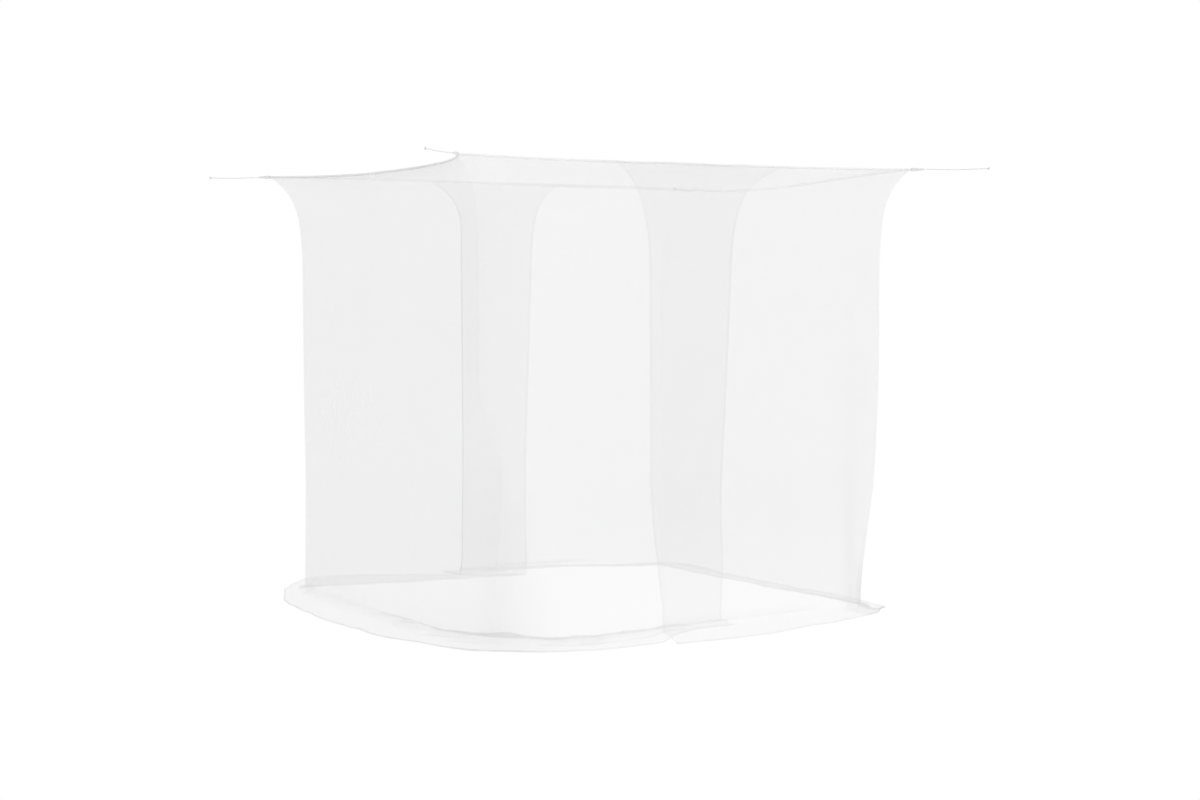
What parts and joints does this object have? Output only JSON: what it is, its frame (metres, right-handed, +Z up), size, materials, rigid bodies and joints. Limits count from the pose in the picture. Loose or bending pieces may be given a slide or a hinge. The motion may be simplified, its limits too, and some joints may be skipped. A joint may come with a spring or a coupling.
{
  "type": "mosquito net canopy",
  "caption": "Box-shaped mosquito net canopy for a bed: netting roof with taped edge, draped walls with overlapping entrances and a floor skirt, hung by corner cords.",
  "frame": {"origin": "on the floor, under the middle of the net's box without its hanging cords", "axes": "+Z up; -Y is the front with the wide entrance; +X is to the right seen from the front"},
  "size_m": [2.5786, 2.5702, 1.8462],
  "materials": {
    "roof_net": "sheer white knitted netting, matt",
    "left_net": "sheer white knitted netting, matt",
    "right_net": "sheer white knitted netting, matt",
    "binding_tape": "white woven tape folded over the roof's edge and stitched",
    "tab_tape": "white woven tape, folded double",
    "cord": "off-white twisted cord"
  },
  "bodies": {
    "root": {"roof_panel": "roof_net", "wall_panel_left": "left_net", "wall_panel_right": "right_net", "edge_binding": "binding_tape", "corner_tab_front_left": "tab_tape", "corner_tab_front_right": "tab_tape", "corner_tab_back_right": "tab_tape", "corner_tab_back_left": "tab_tape", "hanging_cord_front_left": "cord", "hanging_cord_front_right": "cord", "hanging_cord_back_right": "cord", "hanging_cord_back_left": "cord", "cord_knot_front_left": "cord", "cord_knot_front_right": "cord", "cord_knot_back_right": "cord", "cord_knot_back_left": "cord"}
  },
  "joints": []
}
